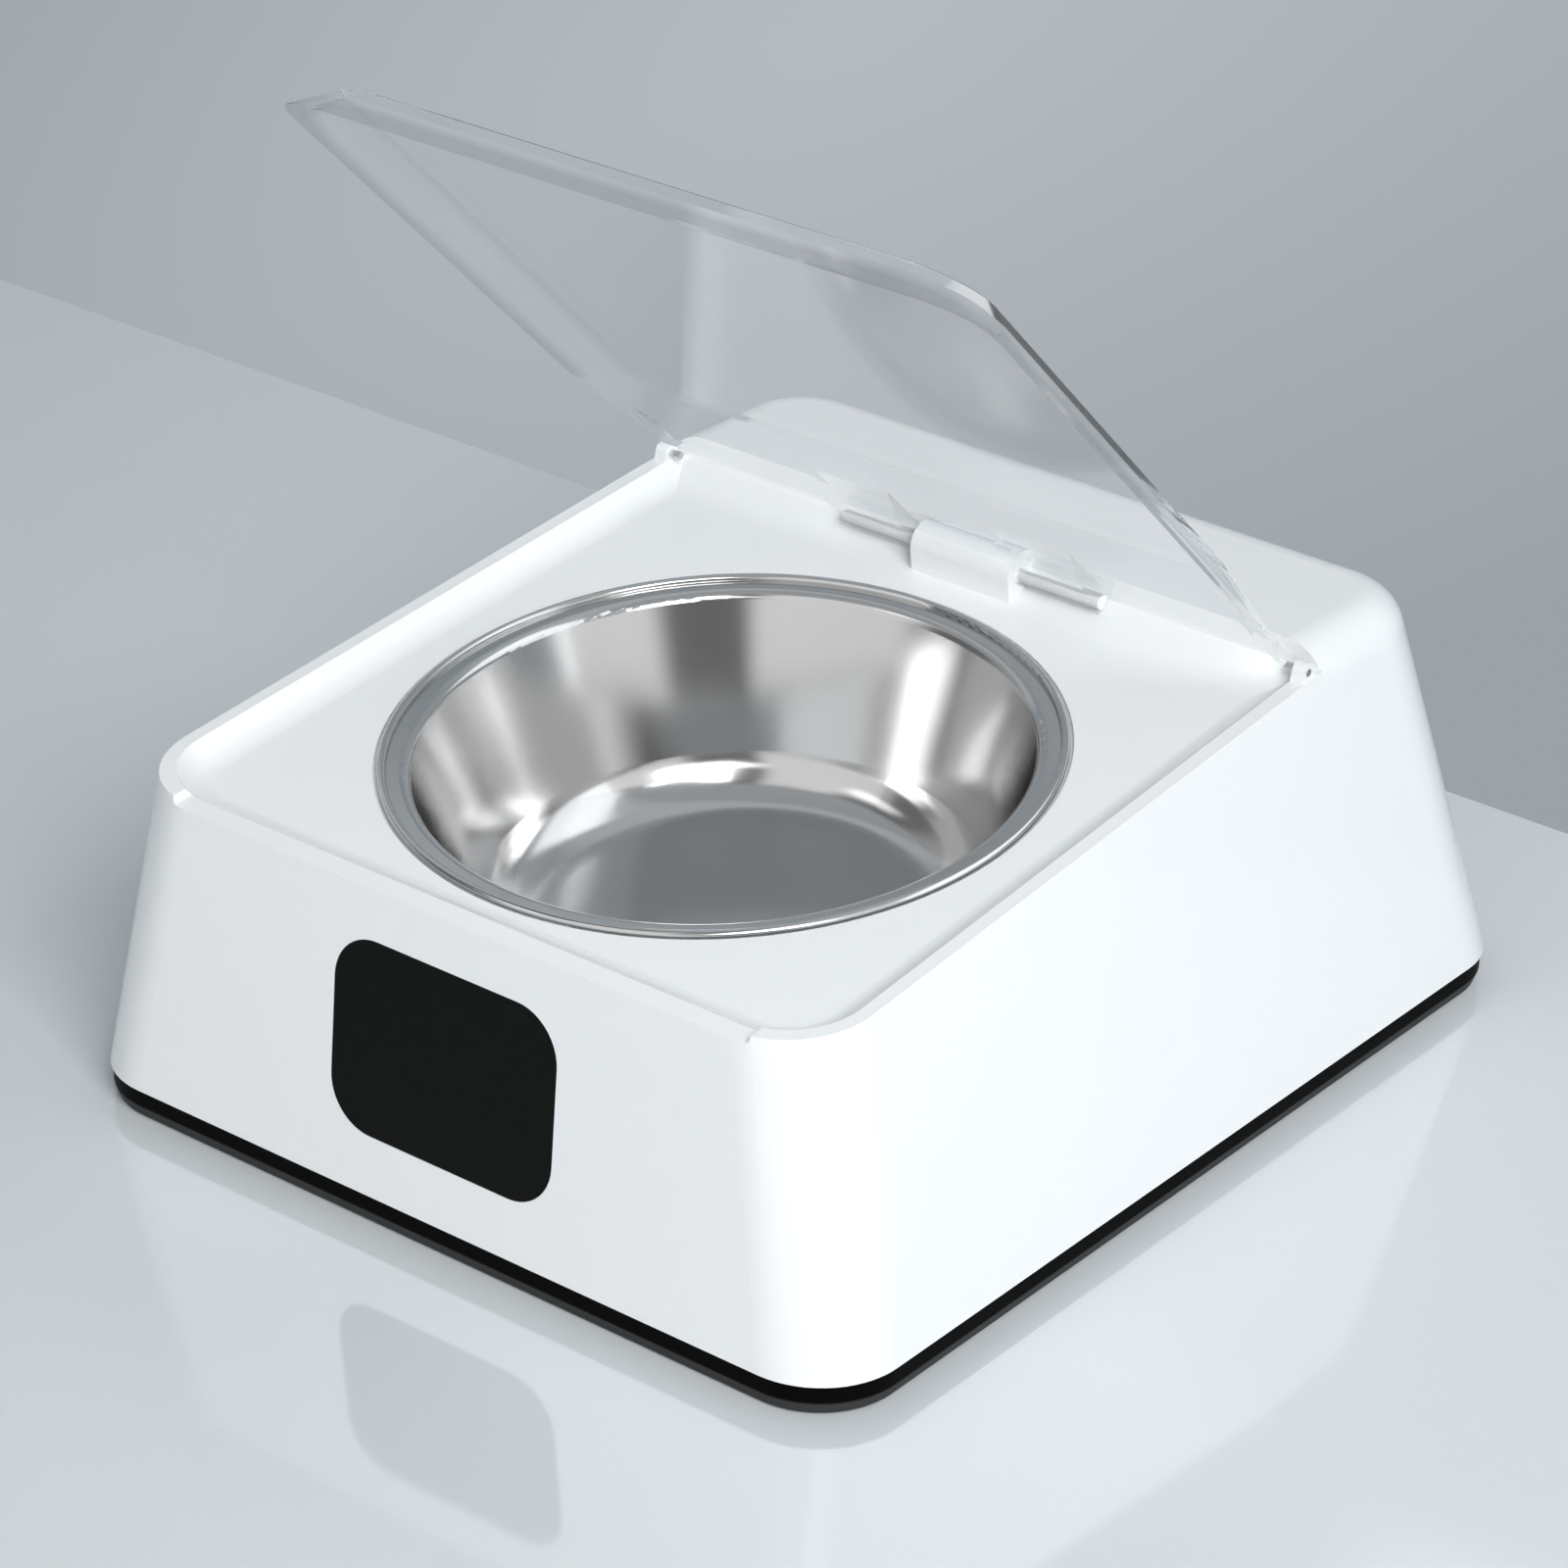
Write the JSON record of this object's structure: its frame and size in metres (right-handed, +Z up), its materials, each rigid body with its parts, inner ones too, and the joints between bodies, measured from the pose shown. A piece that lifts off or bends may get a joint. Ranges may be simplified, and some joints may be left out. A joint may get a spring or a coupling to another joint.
{
  "type": "automatic pet feeder",
  "caption": "Sloping tapered feeder with a round sunken bowl, a hinged clear dome lid driven by a small gear train, and a front sensor window.",
  "frame": {"origin": "centre of the base footprint, on the floor", "axes": "+X to the right seen from the front, +Y towards the rear block, +Z up"},
  "size_m": [0.228, 0.2683, 0.238],
  "materials": {
    "white_plastic": "moulded, polished white",
    "black_plastic": "moulded, fine matt",
    "bowl_steel": "polished stainless, spun bowl",
    "clear_plastic": "clear moulded plastic",
    "pin_steel": "ground steel",
    "window_plastic": "infrared-passing black plastic",
    "foot_rubber": "matt rubber",
    "gear_plastic": "natural acetal",
    "motor_metal": "plated steel can",
    "frame_plastic": "moulded dark grey",
    "screw_steel": "zinc plated",
    "coil_copper": "enamelled copper winding",
    "board_green": "solder mask",
    "component_black": "moulded component bodies",
    "sensor_clear": "clear epoxy",
    "button_plastic": "fine matt grey",
    "battery_sleeve": "plain printed sleeve",
    "contact_metal": "nickel plated spring steel"
  },
  "bodies": {
    "housing": {"upper_housing": "white_plastic", "base_plate": "black_plastic", "hinge_pins": "pin_steel", "sensor_window": "window_plastic", "rubber_feet": "foot_rubber", "shaft_bushings": "gear_plastic", "idler_axle": "pin_steel", "gearmotor": "motor_metal", "drive_bracket": "frame_plastic", "bracket_screws": "screw_steel", "antenna_former": "frame_plastic", "antenna_coil": "coil_copper", "main_board": "board_green", "board_components": "component_black", "board_screws": "screw_steel", "sensor_board": "board_green", "infrared_sensors": "sensor_clear", "button_board": "board_green", "tact_switches": "component_black", "batteries": "battery_sleeve", "battery_contacts": "contact_metal", "housing_screws": "screw_steel"},
    "bowl": {"bowl": "bowl_steel"},
    "lid": {"lid": "clear_plastic", "drive_shaft": "gear_plastic", "lid_gear": "gear_plastic"},
    "idler": {"idler_gear": "gear_plastic"},
    "motor_output": {"motor_gear": "gear_plastic", "motor_shaft": "pin_steel"},
    "battery_door": {"battery_door": "black_plastic"},
    "open_button": {"open_button": "button_plastic"},
    "learn_button": {"learn_button": "button_plastic"}
  },
  "joints": [
    {"name": "lid_hinge", "type": "hinge", "parent": "housing", "child": "lid", "pos_m": [0, 0.0595, 0.1026], "axis": [-1, 0, 0], "range_deg": [-50, 0]},
    {"name": "idler_spin", "type": "hinge", "parent": "housing", "child": "idler", "pos_m": [0, 0.06685, 0.09643], "axis": [-1, 0, 0], "range_deg": [0, 30]},
    {"name": "motor_spin", "type": "hinge", "parent": "housing", "child": "motor_output", "pos_m": [0, 0.07937, 0.09224], "axis": [-1, 0, 0], "range_deg": [-25, 0]},
    {"name": "bowl_lift", "type": "slide", "parent": "housing", "child": "bowl", "axis": [0, -0.0889, 0.996], "range_m": [0, 0.012]},
    {"name": "battery_door_off", "type": "slide", "parent": "housing", "child": "battery_door", "axis": [0, 0, -1], "range_m": [0, 0.02]},
    {"name": "open_button_press", "type": "slide", "parent": "housing", "child": "open_button", "axis": [0, -0.9737, -0.2278], "range_m": [0, 0.0005], "stiffness_N_per_m": 600},
    {"name": "learn_button_press", "type": "slide", "parent": "housing", "child": "learn_button", "axis": [0, -0.9737, -0.2278], "range_m": [0, 0.0005], "stiffness_N_per_m": 600}
  ],
  "couplings": [
    {"joint": "idler_spin", "follows": "lid_hinge", "ratio": -0.6},
    {"joint": "motor_spin", "follows": "lid_hinge", "ratio": 0.5}
  ]
}
